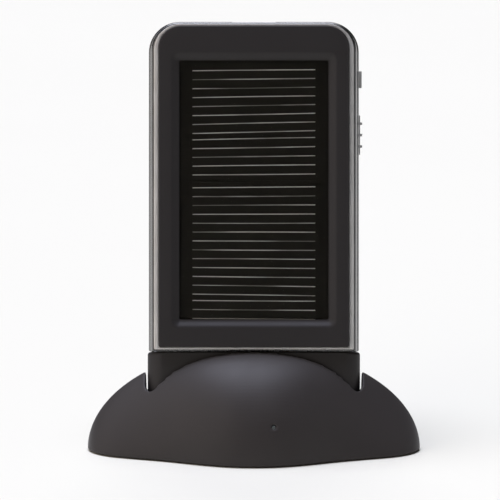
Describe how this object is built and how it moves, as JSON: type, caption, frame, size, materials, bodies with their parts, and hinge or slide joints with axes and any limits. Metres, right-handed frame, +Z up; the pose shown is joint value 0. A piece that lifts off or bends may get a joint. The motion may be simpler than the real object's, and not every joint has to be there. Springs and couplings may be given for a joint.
{
  "type": "solar phone charger with dock",
  "caption": "Slim black solar power pack with a polished side band, side keys and a charging socket, standing in a low domed charging dock on rubber feet.",
  "frame": {"origin": "middle of the object's footprint, on the surface it stands on", "axes": "+Z up; -Y is the side that the solar panel faces; +X to the right of someone who faces the panel, the side with the keys"},
  "size_m": [0.0964, 0.0482, 0.1228],
  "materials": {
    "satin_metal": "satin rib and plated shoulder round the solar panel",
    "polished_metal": "dark polished side band",
    "key_metal": "satin plated keys",
    "cover_black": "soft-touch black",
    "cap_black": "soft-touch black",
    "frame_black": "fine-grained matt black",
    "dock_black": "soft-touch black, faintly blue where light grazes it",
    "base_black": "textured black underside",
    "panel_black": "black laminate behind the cells",
    "window": "clear, glossy",
    "solar_cell": "dark silicon with thin silver finger lines",
    "cell_silver": "printed silver finger lines",
    "circuit_board": "green solder resist",
    "battery_pouch": "foil pouch",
    "foam": "closed-cell foam",
    "steel": "plated sheet steel",
    "screw_steel": "dark zinc-plated screws",
    "socket_black": "moulded black",
    "contact_brass": "gilded contacts",
    "flex_cable": "amber polyimide",
    "lens": "milky light guide",
    "smoked_lens": "smoked light guide, nearly as dark as the dock when unlit",
    "rubber": "matt black rubber",
    "red_wire": "insulated wire",
    "black_wire": "insulated wire"
  },
  "bodies": {
    "dock": {"dock_shell": "dock_black", "base_plate": "base_black", "ballast_plate": "steel", "dock_board": "circuit_board", "plug_foot": "socket_black", "plug_blade": "contact_brass", "inlet_socket": "steel", "inlet_tongue": "socket_black", "status_light_pipe": "smoked_lens", "status_led": "lens", "foot_1": "rubber", "foot_2": "rubber", "foot_3": "rubber", "foot_4": "rubber", "foot_5": "rubber", "foot_6": "rubber", "dock_screw_1": "screw_steel", "dock_screw_2": "screw_steel", "dock_screw_3": "screw_steel", "dock_screw_4": "screw_steel"},
    "pack": {"front_shell": "satin_metal", "side_band": "polished_metal", "rear_cover": "cover_black", "bottom_cap": "cap_black", "solar_frame": "frame_black", "window_pane": "window", "panel_board": "panel_black", "solar_cell_1": "solar_cell", "solar_cell_2": "solar_cell", "solar_cell_3": "solar_cell", "solar_cell_4": "solar_cell", "main_board": "circuit_board", "battery": "battery_pouch", "battery_pad": "foam", "usb_shell": "steel", "usb_insert": "socket_black", "pack_socket": "socket_black", "socket_flex": "flex_cable", "key_contact": "steel", "slide_contact": "steel", "light_pipe_1": "lens", "light_pipe_2": "lens", "light_pipe_3": "lens", "light_pipe_4": "lens", "rear_screw_1": "screw_steel", "rear_screw_2": "screw_steel", "rear_screw_3": "screw_steel", "rear_screw_4": "screw_steel", "socket_screw_1": "screw_steel", "socket_screw_2": "screw_steel", "solar_lead_1": "black_wire", "solar_lead_2": "red_wire", "battery_lead_1": "black_wire", "battery_lead_2": "red_wire"},
    "check_key": {"check_button": "key_metal"},
    "output_switch": {"slide_knob": "key_metal"}
  },
  "joints": [
    {"name": "pack_lift", "type": "slide", "parent": "dock", "child": "pack", "axis": [0, 0.1736, 0.9848], "range_m": [0, 0.045]},
    {"name": "check_press", "type": "slide", "parent": "pack", "child": "check_key", "axis": [-1, 0, 0], "range_m": [0, 0.0005], "stiffness_N_per_m": 400},
    {"name": "output_slide", "type": "slide", "parent": "pack", "child": "output_switch", "axis": [0, 0.1736, 0.9848], "range_m": [0, 0.002]}
  ]
}
